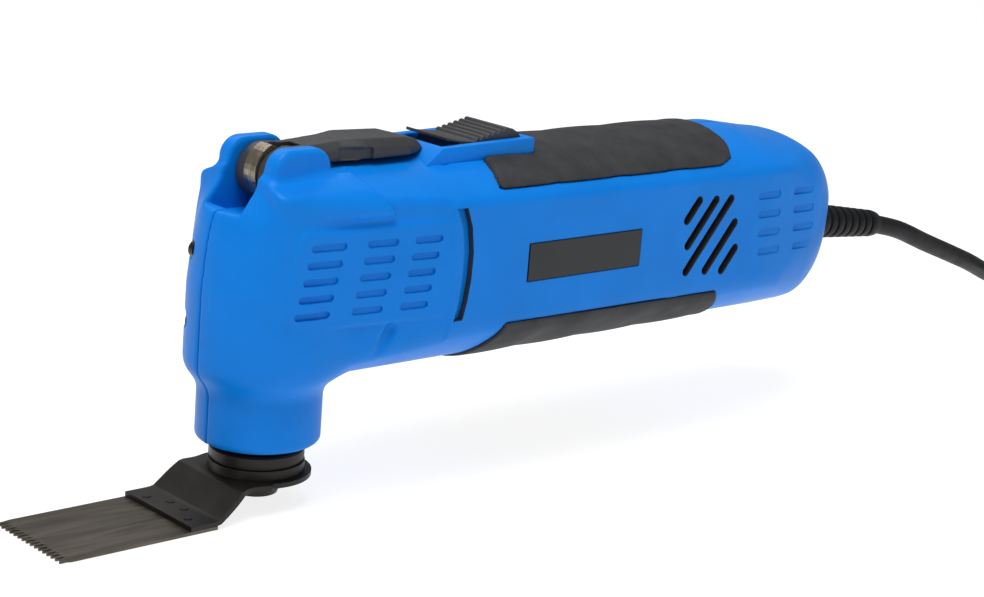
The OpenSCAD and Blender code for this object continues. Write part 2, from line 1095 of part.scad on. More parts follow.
module plug_body() {
    color(black)
        plug_axis()
            difference() {
                union() {
                    cylinder(r1 = 5, r2 = 8, h = 20);
                    translate([0, 0, 16])
                        cylinder(r = 11, h = 18);
                    translate([0, 0, 34])
                        linear_extrude(10)
                            union() {
                                square([2 * plug_half_h, 2 * (plug_half_w - plug_half_h)], center = true);
                                for (s = [-1, 1])
                                    translate([0, s * (plug_half_w - plug_half_h)])
                                        circle(r = plug_half_h);
                            }
                }
                for (s = [-1, 1])
                    translate([0, s * pin_gap, plug_face - 12])
                        cylinder(r = plug_shank_r, h = 20);
            }
}

module plug_pins() {
    color(steel)
        plug_axis()
            for (s = [-1, 1]) {
                translate([0, s * pin_gap, plug_face - 12])
                    cylinder(r = plug_shank_r, h = 13);
                translate([0, s * pin_gap, plug_face])
                    cylinder(r = plug_pin_r, h = 19);
            }
}

housing_left();
housing_right();
top_grip();
bottom_grip();
label_plate_left();
label_plate_right();
switch_bezel();
switch_slider();
switch_link_bar();
switch_module();
lever_handle();
release_cam();
lever_pivot_pin();
push_rod();
clamp_bolt();
clamp_spring();
spindle();
spindle_fork();
lower_spindle_bearing();
upper_spindle_bearing();
bearing_cap();
bearing_cap_screws();
gear_case();
dust_seal();
eccentric_bearing();
motor_shaft();
front_motor_bearing();
rear_motor_bearing();
rear_bearing_seat();
armature_core();
armature_windings();
commutator();
cooling_fan();
air_baffle();
stator_core();
field_coils();
brush_holders();
carbon_brushes();
brush_springs();
control_board();
suppression_capacitor();
cord_clamp();
cord_clamp_screws();
housing_screws();
strain_relief();
blade_bracket();
blade_rivets();
saw_blade();
cord_tube();
cord_coil();
plug_body();
plug_pins();
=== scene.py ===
"""Looks for the oscillating multi tool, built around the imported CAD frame. All lengths are in metres."""
import json
import math

import bmesh
import bpy
import numpy as np
import openvdb
from mathutils import Matrix, Vector


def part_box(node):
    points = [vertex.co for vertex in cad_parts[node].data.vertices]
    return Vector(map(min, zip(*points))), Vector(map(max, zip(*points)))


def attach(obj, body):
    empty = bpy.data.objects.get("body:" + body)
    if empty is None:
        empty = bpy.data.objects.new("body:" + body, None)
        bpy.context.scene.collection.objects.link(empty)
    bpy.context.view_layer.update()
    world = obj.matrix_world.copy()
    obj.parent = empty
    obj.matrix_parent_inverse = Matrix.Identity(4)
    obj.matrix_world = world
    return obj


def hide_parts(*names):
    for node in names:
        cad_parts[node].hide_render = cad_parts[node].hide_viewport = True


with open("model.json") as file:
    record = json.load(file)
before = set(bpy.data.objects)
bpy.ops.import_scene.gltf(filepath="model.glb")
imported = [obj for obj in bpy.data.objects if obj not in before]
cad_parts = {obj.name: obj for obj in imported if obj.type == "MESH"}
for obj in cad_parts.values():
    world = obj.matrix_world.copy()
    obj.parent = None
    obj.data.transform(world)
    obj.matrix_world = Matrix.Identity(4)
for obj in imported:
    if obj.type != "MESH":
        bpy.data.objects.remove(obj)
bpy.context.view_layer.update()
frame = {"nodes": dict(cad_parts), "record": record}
nodes = frame["nodes"]
MM = 0.001

# ---------------------------------------------------------------- camera

CAMERA_PLACE = (-0.3748, -0.4954, 0.2177)
CAMERA_AZIMUTH = -43.2
CAMERA_ELEVATION = 14.6
CAMERA_ROLL = 4.6
LENS_MM = 80.5
SENSOR_MM = 36.0


def add_camera():
    az = math.radians(CAMERA_AZIMUTH)
    el = math.radians(CAMERA_ELEVATION)
    roll = math.radians(CAMERA_ROLL)
    back = Vector((math.sin(az) * math.cos(el), -math.cos(az) * math.cos(el), math.sin(el)))
    level = (-back).cross(Vector((0, 0, 1))).normalized()
    upright = level.cross(-back)
    right = math.cos(roll) * level + math.sin(roll) * upright
    up = -math.sin(roll) * level + math.cos(roll) * upright
    turn = Matrix((right, up, back)).transposed()
    data = bpy.data.cameras.new("camera")
    data.lens = LENS_MM
    data.sensor_width = SENSOR_MM
    data.clip_start = 0.01
    camera = bpy.data.objects.new("camera", data)
    camera.matrix_world = Matrix.Translation(CAMERA_PLACE) @ turn.to_4x4()
    bpy.context.scene.collection.objects.link(camera)
    bpy.context.scene.camera = camera


add_camera()

# ---------------------------------------------------------------- cord

CORD_D = 0.007
FLOOR_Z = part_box("saw_blade")[0][2]
COIL_X = 0.474
RELIEF_START = Vector((0.234, 0, 0.0534))
RELIEF_TILT = math.radians(7)
RELIEF_LENGTH = 0.049
RELIEF_END = RELIEF_START + RELIEF_LENGTH * Vector((math.cos(RELIEF_TILT), 0, -math.sin(RELIEF_TILT)))
CORD_LOW = FLOOR_Z + CORD_D / 2
ROUTE_MM = [
    (300, 0.5, 43.2), (320, 2, 36), (340, 4.5, 29.2), (360, 8, 22.4), (380, 13, 15),
    (400, 20, 8.5), (418, 27.5, 2.5), (434, 34.5, -2.5), (448, 39.5, -5.5),
    (461, 42.3, -6.3),
]
TAIL_MM = [
    (450.1, -23.9, 9.2), (446.5, -15.9, 10.8), (444.5, -7.9, 12.2), (444, 0, 13.8),
    (444.9, 7.8, 15.8), (448, 15, 17.8), (453, 21, 19.7), (459.4, 25.4, 21.5),
    (466.5, 28, 23), (474, 29, 24),
]
TURNS = [(43, 0), (36, 0), (36, 1), (43, 1), (43, 2), (36, 2)]
STEPS_PER_TURN = 36
SHIFT_FROM = 210
SHIFT_TO = 255


def metres(points):
    return [Vector(p) * MM for p in points]


def coil_point(turn, degrees):
    """The coil's centreline, degrees round turn number turn, wound clockwise from +Y."""
    radius, layer = TURNS[turn]
    if turn + 1 < len(TURNS):
        share = min(max((degrees - SHIFT_FROM) / (SHIFT_TO - SHIFT_FROM), 0), 1)
        share = share * share * (3 - 2 * share)
        radius += share * (TURNS[turn + 1][0] - radius)
        layer += share * (TURNS[turn + 1][1] - layer)
    angle = math.radians(90 - degrees)
    return Vector((
        COIL_X + radius * MM * math.cos(angle),
        radius * MM * math.sin(angle),
        CORD_LOW + layer * CORD_D,
    ))


def coil_line():
    """All the turns; the last one stops where the cord leaves for the plug."""
    steps = round((len(TURNS) - 1 + SHIFT_FROM / 360) * STEPS_PER_TURN)
    return [
        coil_point(step // STEPS_PER_TURN, step % STEPS_PER_TURN * 360 / STEPS_PER_TURN)
        for step in range(steps)
    ]


def smooth_line(points, steps=6):
    """A Catmull-Rom curve through the points."""
    ends = [2 * points[0] - points[1], *points, 2 * points[-1] - points[-2]]
    line = []
    for a, b, c, d in zip(ends, ends[1:], ends[2:], ends[3:]):
        for i in range(steps):
            t = i / steps
            line.append(0.5 * (
                2 * b + (c - a) * t + (2 * a - 5 * b + 4 * c - d) * t ** 2
                + (3 * b - a - 3 * c + d) * t ** 3
            ))
    return [*line, points[-1]]


def add_cord(line):
    curve = bpy.data.curves.new("mains_cord", "CURVE")
    curve.dimensions = "3D"
    curve.bevel_depth = 1
    curve.bevel_resolution = 5
    curve.use_fill_caps = True
    spline = curve.splines.new("POLY")
    spline.points.add(len(line) - 1)
    for point, place in zip(spline.points, line):
        point.co = (*place, 1)
        point.radius = CORD_D / 2
    spline.use_smooth = True
    cord = bpy.data.objects.new("mains_cord", curve)
    bpy.context.scene.collection.objects.link(cord)
    return cord


# ---------------------------------------------------------------- finishes


class Finish:
    """A procedural material: a base tone with grain, a roughness that varies, and a fine bump."""

    def __init__(self, base, rough, metal=0.0, tone=0.08, grain=60.0, spread=0.08,
                 bump=0.1, bump_scale=1800.0, stretch=(1, 1, 1), edge=0.0, shine=0.5):
        self.base = base
        self.rough = rough
        self.metal = metal
        self.tone = tone
        self.grain = grain
        self.spread = spread
        self.bump = bump
        self.bump_scale = bump_scale
        self.stretch = stretch
        self.edge = edge
        self.shine = shine


FINISHES = {
    "blue_shell": Finish((0.0015, 0.195, 0.70), 0.40, tone=0.05, bump=0.12, edge=0.00035, shine=0.13),
    "soft_grip": Finish((0.028, 0.029, 0.032), 0.72, shine=0.35, tone=0.25, grain=140, spread=0.1, bump=0.5,
                        bump_scale=1300),
    "black_plastic": Finish((0.03, 0.031, 0.034), 0.48, tone=0.12, bump=0.25, edge=0.0003),
    "label_dark": Finish((0.013, 0.016, 0.018), 0.25, tone=0.1, spread=0.05, bump=0.02, shine=0.3),
    "black_oxide": Finish((0.02, 0.0165, 0.013), 0.42, metal=0.5, tone=0.3, grain=90, spread=0.14,
                          bump=0.12, bump_scale=900, edge=0.0002),
    "blade_steel": Finish((0.105, 0.09, 0.07), 0.38, metal=0.8, tone=0.35, grain=45, spread=0.16,
                          bump=0.1, bump_scale=700, stretch=(1, 9, 1), edge=0.0002),
    "bright_steel": Finish((0.6, 0.6, 0.6), 0.3, metal=1, tone=0.1, bump=0.05, stretch=(1, 6, 1)),
    "cam_steel": Finish((0.30, 0.25, 0.19), 0.3, metal=0.95, tone=0.35, grain=160, spread=0.16,
                        bump=0.15, bump_scale=700, stretch=(1, 7, 1), edge=0.0003),
    "alloy": Finish((0.62, 0.63, 0.64), 0.45, metal=0.9, tone=0.12, bump=0.3, bump_scale=700),
    "copper": Finish((0.62, 0.28, 0.11), 0.35, metal=0.9, tone=0.2, stretch=(8, 1, 1), bump=0.2),
    "carbon": Finish((0.03, 0.03, 0.03), 0.6, tone=0.2),
    "seal_rubber": Finish((0.018, 0.018, 0.019), 0.6, tone=0.2),
    "board": Finish((0.02, 0.16, 0.06), 0.4, tone=0.15),
    "capacitor": Finish((0.62, 0.45, 0.05), 0.3, tone=0.08),
    "cord_black": Finish((0.006, 0.0065, 0.008), 0.5, tone=0.2, grain=200, bump=0.2, bump_scale=2500,
                         shine=0.2),
    "pin_metal": Finish((0.75, 0.73, 0.7), 0.2, metal=1, tone=0.06, bump=0.02),
}
SHADES = {}


def shade(name):
    """The material of that finish, made once."""
    if name in SHADES:
        return SHADES[name]
    look = FINISHES[name]
    material = bpy.data.materials.new(name)
    material.use_nodes = True
    tree = material.node_tree
    new, link = tree.nodes.new, tree.links.new
    shader = tree.nodes["Principled BSDF"]
    shader.inputs["Metallic"].default_value = look.metal
    shader.inputs["Specular IOR Level"].default_value = look.shine
    place = new("ShaderNodeTexCoord")
    stretch = new("ShaderNodeMapping")
    stretch.inputs["Scale"].default_value = look.stretch
    link(place.outputs["Object"], stretch.inputs["Vector"])
    grain = new("ShaderNodeTexNoise")
    grain.inputs["Scale"].default_value = look.grain
    grain.inputs["Detail"].default_value = 6
    link(stretch.outputs["Vector"], grain.inputs["Vector"])
    tones = new("ShaderNodeValToRGB")
    tones.color_ramp.elements[0].position = 0.3
    tones.color_ramp.elements[0].color = (*[c * (1 - look.tone) for c in look.base], 1)
    tones.color_ramp.elements[1].position = 0.7
    tones.color_ramp.elements[1].color = (*[min(c * (1 + look.tone), 1) for c in look.base], 1)
    link(grain.outputs["Fac"], tones.inputs["Fac"])
    link(tones.outputs["Color"], shader.inputs["Base Color"])
    rub = new("ShaderNodeTexNoise")
    rub.inputs["Scale"].default_value = look.grain * 0.45
    rub.inputs["Detail"].default_value = 8
    link(stretch.outputs["Vector"], rub.inputs["Vector"])
    level = new("ShaderNodeMapRange")
    level.inputs["From Min"].default_value = 0.3
    level.inputs["From Max"].default_value = 0.7
    level.inputs["To Min"].default_value = look.rough - look.spread
    level.inputs["To Max"].default_value = look.rough + look.spread
    link(rub.outputs["Fac"], level.inputs["Value"])
    link(level.outputs["Result"], shader.inputs["Roughness"])
    pits = new("ShaderNodeTexNoise")
    pits.inputs["Scale"].default_value = look.bump_scale
    pits.inputs["Detail"].default_value = 3
    link(stretch.outputs["Vector"], pits.inputs["Vector"])
    bump = new("ShaderNodeBump")
    bump.inputs["Strength"].default_value = look.bump
    bump.inputs["Distance"].default_value = 0.0002
    link(pits.outputs["Fac"], bump.inputs["Height"])
    if look.edge:
        edge = new("ShaderNodeBevel")
        edge.samples = 4
        edge.inputs["Radius"].default_value = look.edge
        link(edge.outputs["Normal"], bump.inputs["Normal"])
    link(bump.outputs["Normal"], shader.inputs["Normal"])
    SHADES[name] = material
    return material


def coat(obj, slot, look=None):
    obj.data.materials.clear()
    obj.data.materials.append(shade(look or slot))


def mount(obj, body, slot, *replaced, look=None):
    coat(obj, slot, look)
    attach(obj, body)
    if replaced:
        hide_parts(*replaced)
    return obj


# ---------------------------------------------------------------- meshes


def add_mesh(name, mesh):
    obj = bpy.data.objects.new(name, mesh)
    bpy.context.scene.collection.objects.link(obj)
    return obj


def soften(mesh, degrees=32):
    mesh.shade_smooth()
    mesh.set_sharp_from_angle(angle=math.radians(degrees))


def from_bmesh(name, bm):
    bmesh.ops.recalc_face_normals(bm, faces=bm.faces)
    mesh = bpy.data.meshes.new(name)
    bm.to_mesh(mesh)
    bm.free()
    return add_mesh(name, mesh)


def add_prism(bm, outline, y0, y1, turn=0.0):
    """An XZ outline in mm pulled out from y0 to y1, then turned about the Z axis."""
    c, s = math.cos(math.radians(turn)), math.sin(math.radians(turn))
    rings = [
        [bm.verts.new(((x * c - y * s) * MM, (x * s + y * c) * MM, z * MM)) for x, z in outline]
        for y in (y0, y1)
    ]
    count = len(outline)
    bm.faces.new(rings[0])
    bm.faces.new(rings[1][::-1])
    for i in range(count):
        j = (i + 1) % count
        bm.faces.new((rings[0][j], rings[0][i], rings[1][i], rings[1][j]))


def add_plate(bm, outline, z0, z1):
    """An XY outline in mm pulled up from z0 to z1."""
    rings = [[bm.verts.new((x * MM, y * MM, z * MM)) for x, y in outline] for z in (z0, z1)]
    count = len(outline)
    bm.faces.new(rings[0][::-1])
    bm.faces.new(rings[1])
    for i in range(count):
        j = (i + 1) % count
        bm.faces.new((rings[0][i], rings[0][j], rings[1][j], rings[1][i]))


def stadium(x, z, length, width, degrees=0.0, steps=8):
    """Outline of a slot with round ends."""
    c, s = math.cos(math.radians(degrees)), math.sin(math.radians(degrees))
    reach, r = (length - width) / 2, width / 2
    points = []
    for side in (1, -1):
        for i in range(steps + 1):
            a = math.pi * (i / steps - 0.5)
            u, v = side * (reach + r * math.cos(a)), side * r * math.sin(a)
            points.append((x + u * c - v * s, z + u * s + v * c))
    return points


def bake(obj):
    """Applies the object's modifiers."""
    done = bpy.data.meshes.new_from_object(obj.evaluated_get(bpy.context.evaluated_depsgraph_get()))
    obj.modifiers.clear()
    old, obj.data = obj.data, done
    bpy.data.meshes.remove(old)


def cut(obj, cutter, solver="MANIFOLD"):
    modifier = obj.modifiers.new("cut", "BOOLEAN")
    modifier.operation = "DIFFERENCE"
    modifier.solver = solver
    modifier.object = cutter
    bake(obj)
    bpy.data.objects.remove(cutter)


def round_edges(obj, width_mm, segments=2):
    bevel = obj.modifiers.new("edges", "BEVEL")
    bevel.width = width_mm * MM
    bevel.segments = segments
    bevel.limit_method = "ANGLE"
    bevel.angle_limit = math.radians(28)
    bake(obj)
    soften(obj.data, 40)


def lathe(name, profile, place, steps=64):
    """A profile of (radius, height) in mm turned about Z, then placed by a matrix."""
    bm = bmesh.new()
    rings = [
        [bm.verts.new((r * MM * math.cos(2 * math.pi * i / steps),
                       r * MM * math.sin(2 * math.pi * i / steps), h * MM)) for i in range(steps)]
        for r, h in profile
    ]
    for low, high in zip(rings, rings[1:]):
        for i in range(steps):
            j = (i + 1) % steps
            bm.faces.new((low[i], low[j], high[j], high[i]))
    bm.faces.new(rings[0][::-1])
    bm.faces.new(rings[-1])
    bmesh.ops.transform(bm, matrix=place, verts=bm.verts)
    obj = from_bmesh(name, bm)
    soften(obj.data, 35)
    return obj


# ---------------------------------------------------------------- fields


def round_max(a, b, r):
    """Where both fields are inside, with their common edge rounded."""
    return (np.minimum(np.maximum(a, b), -r)
            + np.hypot(np.maximum(a + r, 0), np.maximum(b + r, 0)))


def round_min(a, b, r):
    """Where either field is inside, with a fillet in the corner between them."""
    return -round_max(-a, -b, r)


def round_box(u, v, cu, cv, hu, hv, r):
    qu, qv = np.abs(u - cu) - hu + r, np.abs(v - cv) - hv + r
    return np.hypot(np.maximum(qu, 0), np.maximum(qv, 0)) + np.minimum(np.maximum(qu, qv), 0) - r


def outline_field(u, v, points):
    """Signed distance to a polygon, negative inside."""
    best = np.full(np.broadcast(u, v).shape, 1e9)
    inside = np.zeros(best.shape, bool)
    for (ax, ay), (bx, by) in zip(points, points[1:] + points[:1]):
        ex, ey = bx - ax, by - ay
        t = np.clip(((u - ax) * ex + (v - ay) * ey) / (ex * ex + ey * ey), 0, 1)
        best = np.minimum(best, np.hypot(u - ax - t * ex, v - ay - t * ey))
        if ey:
            crosses = ((v >= ay) != (v >= by)) & (u < ax + (v - ay) / ey * ex)
            inside ^= crosses
    return np.where(inside, -best, best)


def step_up(value, width):
    """0 outside, 1 inside, easing over the width."""
    share = np.clip(-value / width, 0, 1)
    return share * share * (3 - 2 * share)


def axes(low, high, step):
    """Open grids of x, y and z in mm."""
    lines = [np.arange(a, b + step, step) for a, b in zip(low, high)]
    return (lines[0][:, None, None], lines[1][None, :, None], lines[2][None, None, :])


def field_mesh(name, field, low, step, mirrored=False):
    grid = openvdb.FloatGrid(3.0)
    grid.copyFromArray(np.ascontiguousarray(np.clip(field, -3, 3), dtype=np.float32))
    points, quads = grid.convertToQuads(0.0)
    points = (points * step + np.array(low)) * MM
    quads = quads.astype(np.int32)
    if mirrored:
        points[:, 1] *= -1
        quads = quads[:, ::-1]
    mesh = bpy.data.meshes.new(name)
    mesh.vertices.add(len(points))
    mesh.vertices.foreach_set("co", np.ascontiguousarray(points, dtype=np.float32).ravel())
    mesh.loops.add(quads.size)
    mesh.loops.foreach_set("vertex_index", np.ascontiguousarray(quads).ravel())
    mesh.polygons.add(len(quads))
    mesh.polygons.foreach_set("loop_start", np.arange(0, quads.size, 4, dtype=np.int32))
    mesh.update()
    mesh.validate()
    return add_mesh(name, mesh)


# ---------------------------------------------------------------- housing

HOUSING_STEP = 0.6
BELLY_R, BELLY_Z = 35.5, 62.5
TAIL_X = 239.6
TAIL_ROUND = 27
SIDE_HALF = 29
CHEEK_DEGREES = 7.4
CHEEK_MID_Y = 22.2
HEAD_PROFILE = [
    (9, 18.6), (25, 18.6), (27.4, 19.6), (31, 22.4), (33.5, 23), (56, 22.8), (69, 21.6),
    (76, 20.4), (79.5, 19.2), (82, 17.4), (84.5, 15), (87, 11),
]
TOP_GRIP = [
    (74, 98), (70.5, 91), (66.4, 83.8), (164, 83.8), (171, 85.3), (174.7, 89), (176, 94), (179, 98),
]
LOW_GRIP = [(64, 22), (66, 32), (70.5, 42.2), (165, 41.4), (171, 35), (177, 22)]
CHEEK_PANEL = [(-3.5, 73.6), (44.8, 74.8), (44.8, 50), (-8, 50)]
PANEL_MID_Y = 23.6
PANEL_DEGREES = 6
SCREWS = [(-18.3, 66), (-18.3, 45), (38, 34), (39, 83), (196, 34.5), (196, 83.5), (228, 43.5), (229, 72)]
PIVOT_X = 1
EAR_IN, EAR_OUT = 8.4, 14
GRIP_DEPTH = 1.6
WALL = 2.9


def crown_field(x, y, z):
    """The top of the barrel: an arc from its crest down to the crease on each side."""
    crest = np.interp(
        x, [10, 47, 62, 187, 205, 213, 229, 243], [90.8, 91.3, 92, 92.4, 89.6, 88.6, 85.6, 82]
    )
    crease = np.interp(x, [0, 47, 187, 212, 243], [80.5, 81.6, 80.8, 79.6, 74])
    rise = crest - crease
    radius = (SIDE_HALF ** 2 + rise ** 2) / (2 * rise)
    return np.hypot(y, z - crest + radius) - radius


def barrel_field(x, y, z):
    """Crown, sides and belly, with creases that soften toward the rounded tail."""
    lift = np.interp(x, [176, 200, 220, 243], [0, 0, 0.4, 2.6])
    half = np.interp(x, [188, 225, 240], [SIDE_HALF, 26.8, 24.8])
    belly = np.hypot(y, z - BELLY_Z - lift) - BELLY_R
    crease = np.interp(x, [198, 236], [1.4, 18])
    section = round_max(round_max(crown_field(x, y, z), y - half, crease), belly, crease + 0.8)
    return round_max(section, x - TAIL_X, TAIL_ROUND)


def head_field(x, y, z):
    heights, radii = zip(*HEAD_PROFILE)
    fine = np.arange(0, 110, 0.25)
    kernel = np.exp(-0.5 * (np.arange(-12, 13) * 0.25 / 0.9) ** 2)
    rough = np.pad(np.interp(fine, heights, radii), 12, "edge")
    smooth = np.convolve(rough, kernel / kernel.sum(), "valid")
    body = np.hypot(x, y) - np.interp(z, fine, smooth)
    return round_max(round_max(body, 9.2 - z, 1.9), z - 88.2, 3)


def cheek_field(x, y, z):
    tilt = math.radians(CHEEK_DEGREES)
    side = (y - CHEEK_MID_Y - x * math.tan(tilt)) * math.cos(tilt)
    belly = np.hypot(y, z - BELLY_Z) - BELLY_R
    block = round_max(side, -11.5 - x, 3.5)
    block = round_max(block, crown_field(x, y, z), 1.6)
    block = round_max(block, np.interp(x, [-12, 6, 24, 60], [34, 30, 27.5, 26.3]) - z, 4)
    return np.maximum(round_max(block, belly, 2.5), x - 50)


def outer_field(x, y, z):
    """The blue shell's outside, without the slot between the ears."""
    body = round_min(head_field(x, y, z), cheek_field(x, y, z), 5)
    tilt = math.radians(PANEL_DEGREES)
    panel = outline_field(x[:, :, 0], z[0, :, :], CHEEK_PANEL)[:, None, :] - 2.4
    panel = round_max(panel, (y - PANEL_MID_Y - x * math.tan(tilt)) * math.cos(tilt), 0.9)
    body = round_min(body, np.maximum(panel, 18 - y), 0.8)
    body = np.minimum(body, np.maximum(barrel_field(x, y, z), 47 - x))
    # the head stands a little proud of the barrel, up to a slanting step
    edge = np.interp(z, [79, 91], [26.5, 17.5])
    shoulder = np.clip((x + 8) / 22, 0, 1) * step_up(x - edge, 0.8) * np.clip((z - 78.5) / 2, 0, 1)
    body = body - 1.9 * shoulder * np.clip((y - 12) / 2.5, 0, 1)
    # finger-sized gouge low on the cheek
    t = np.clip(((x - 22.3) * 4.7 + (z - 36.5) * 8.5) / 94.3, 0, 1)
    gouge = np.sqrt((x - 22.3 - 4.7 * t) ** 2 + (z - 36.5 - 8.5 * t) ** 2 + ((y - 26) * 1.2) ** 2) - 2.2
    body = round_max(body, -gouge, 0.5)
    ear = round_max(round_box(x, z, PIVOT_X, 84, 10.3, 14, 6.3), y - EAR_OUT, 1.7)
    return round_min(body, ear, 2.4)


def shell_fields():
    """Fields of the right and left halves, for y from 0 up, with the grid's lowest corner."""
    low, high = (-26, -1.2, 7), (246, 31, 100)
    x, y, z = axes(low, high, HOUSING_STEP)
    outer = outer_field(x, y, z)
    slot_floor = np.where(x < -14.5, 79.4, 77)
    slot = np.maximum(np.maximum(y - EAR_IN, x - 12), slot_floor - z)
    shell = round_max(outer, -slot, 0.9)
    inside = np.maximum(shell, outer) + WALL
    for outline in (TOP_GRIP, LOW_GRIP):
        band = outline_field(x[:, :, 0], z[0, :, :], outline)[:, None, :] - 0.2
        shell = np.maximum(shell, -np.maximum(band, -(outer + GRIP_DEPTH)))
    bezel = np.maximum(round_box(x, y, 72, 0, 19.1, 13.1, 0.5), 86.8 - z)
    shell = np.maximum(shell, -bezel)
    cavity = np.maximum(inside, 11.8 - z)
    neck_hole = np.maximum(np.hypot(x, y) - 13.3, z - 14)
    shell = np.maximum(np.maximum(shell, -cavity), -neck_hole)
    relief = np.hypot(y, z - 53.4 + (x - 234) * 0.1228) - 9
    shell = np.maximum(shell, -np.maximum(relief, 225 - x))
    left = right = shell
    for sx, sz in SCREWS:
        boss = np.hypot(x - sx, z - sz)
        stem = np.maximum(np.maximum(boss - 4.6, outer + 0.5), -slot)
        left = np.minimum(left, stem)
        right = np.maximum(np.minimum(right, stem), -np.maximum(boss - 2.9, 7.5 - y))
    seam = 0.12 - y
    return np.maximum(left, seam), np.maximum(right, seam), low


def side_cutters():
    """All that is cut into a side at +Y: vents, slit, label recess and the shallow slots."""
    bm = bmesh.new()
    for vx, vz, length in [(149.4, 70.4, 11), (154.2, 65.9, 21.5), (158, 61.4, 32.5),
                           (164.1, 57, 22.5), (168.9, 52.2, 12)]:
        add_prism(bm, stadium(vx, vz, length, 3.2, 50.6), 22, 33)
    slit = [(46.9, 80), (50.9, 80), (53.2, 74), (54.4, 66), (54.2, 58), (53.2, 51), (51.8, 45.6),
            (48.3, 45.6), (49.7, 51), (50.5, 58), (50.6, 66), (49.4, 74)]
    add_prism(bm, slit, 22, 33)
    # the wall is thinner behind the slit
    add_prism(bm, [(46, 81), (58, 81), (58, 44), (46, 44)], 17, 26.9)
    add_prism(bm, [(77, 54.5), (126.2, 54.5), (126.2, 66.7), (77, 66.7)], 28.4, 33)
    for column, (sx, length) in enumerate([(3.8, 11.8), (22, 10.6), (37.8, 9.8)]):
        for row in range(5):
            px = sx - row * (1.15 - 0.1 * column)
            local = 1.0055 * px + 2.47
            add_prism(bm, stadium(local, 71.5 - 4.9 * row, length, 2.2), 22.85, 30, PANEL_DEGREES)
    for sx, depth in [(187, 28.4), (205.8, 27.3)]:
        for row in range(4):
            add_prism(bm, stadium(sx + 0.8 * row, 72.4 - 6.45 * row, 11.6, 2.6), depth, 33)
    return bm


SLIT_ZONE = (44.5, 56, 45.4, 80.2)
VENT_ZONE = (143, 175, 46, 78)
WALL_FROM_Y, WALL_TO_Y = 20, 28.9


def paint_shade_in_openings(data):
    """Paints the cut walls of the slit and the slanted vents with a dark material: painted shade for the
    dark deep inside the openings.
    """
    data.materials.append(shade("black_plastic"))
    for face in data.polygons:
        cx, cy, cz = face.center * 1000
        opening = any(
            x0 < cx < x1 and z0 < cz < z1 for x0, x1, z0, z1 in (SLIT_ZONE, VENT_ZONE)
        )
        # wall faces inside the openings get the dark material as painted shade
        if opening and WALL_FROM_Y < abs(cy) < WALL_TO_Y and abs(face.normal.y) < 0.5:
            face.material_index = 1


def add_housing():
    left, right, low = shell_fields()
    for name, field, mirrored in (("housing_left", left, True), ("housing_right", right, False)):
        shell = field_mesh(name + "_shell", field, low, HOUSING_STEP, mirrored)
        bm = side_cutters()
        if mirrored:
            bmesh.ops.scale(bm, vec=(1, -1, 1), verts=bm.verts)
        cut(shell, from_bmesh("cutter", bm))
        soften(shell.data, 30)
        mount(shell, "housing", "blue_shell", name)
        # painted shade: the walls of the slit and vents are coloured dark where they would lie in shade
        paint_shade_in_openings(shell.data)


def add_grips():
    step = 0.6
    for name, outline, zs in (("top_grip", TOP_GRIP, (82, 96)), ("bottom_grip", LOW_GRIP, (24, 44))):
        low, high = (54, -31, zs[0]), (182, 31, zs[1])
        x, y, z = axes(low, high, step)
        base = barrel_field(x, np.abs(y), z)
        wave = 0.75 + 0.35 * np.abs(np.sin((x - 62) * math.pi / 27))
        band = outline_field(x[:, :, 0], z[0, :, :], outline)[:, None, :]
        field = np.maximum(round_max(base - wave, band, 0.7), -(base + GRIP_DEPTH - 0.1))
        if name == "top_grip":
            field = np.maximum(field, -np.maximum(round_box(x, y, 70, 0, 21.2, 13.2, 0.5), 80 - z))
        grip = field_mesh(name + "_pad", field, low, step)
        soften(grip.data, 50)
        mount(grip, "housing", "soft_grip", name)


def add_bezel():
    bm = bmesh.new()
    add_prism(bm, [(46.5, 89.2), (53.5, 94.5), (91, 95.4), (91, 86.9), (50, 86.9)], -13, 13)
    bezel = from_bmesh("switch_frame", bm)
    bm = bmesh.new()
    add_prism(bm, [(55.2, 90), (88.7, 90), (88.7, 99), (55.2, 99)], -10, 10)
    cut(bezel, from_bmesh("cutter", bm), "EXACT")
    bm = bmesh.new()
    add_prism(bm, [(64, 80), (81, 80), (81, 99), (64, 99)], -3, 3)
    cut(bezel, from_bmesh("cutter", bm), "EXACT")
    round_edges(bezel, 0.45)
    mount(bezel, "housing", "blue_shell", "switch_bezel")


def add_slider():
    ribs = []
    for i in range(6):
        rx = 69.5 + 2.3 * i
        rz = 94.9 + 0.5 * i
        ribs += [(rx, rz), (rx + 0.35, rz + 0.95), (rx + 1.35, rz + 1.2), (rx + 1.7, rz + 0.45)]
    outline = [(62.6, 90.4), (88.2, 90.4), (88.2, 94.6), (87.3, 96.4), (84.4, 98)]
    outline += ribs[::-1] + [(66, 95.2), (61.5, 95.8), (57.6, 96.9), (57.6, 95.9), (62.6, 95.1)]
    bm = bmesh.new()
    add_prism(bm, outline, -9.6, 9.6)
    slider = from_bmesh("switch_thumb_piece", bm)
    round_edges(slider, 0.18, 1)
    mount(slider, "switch", "black_plastic", "switch_slider")


# ---------------------------------------------------------------- lever


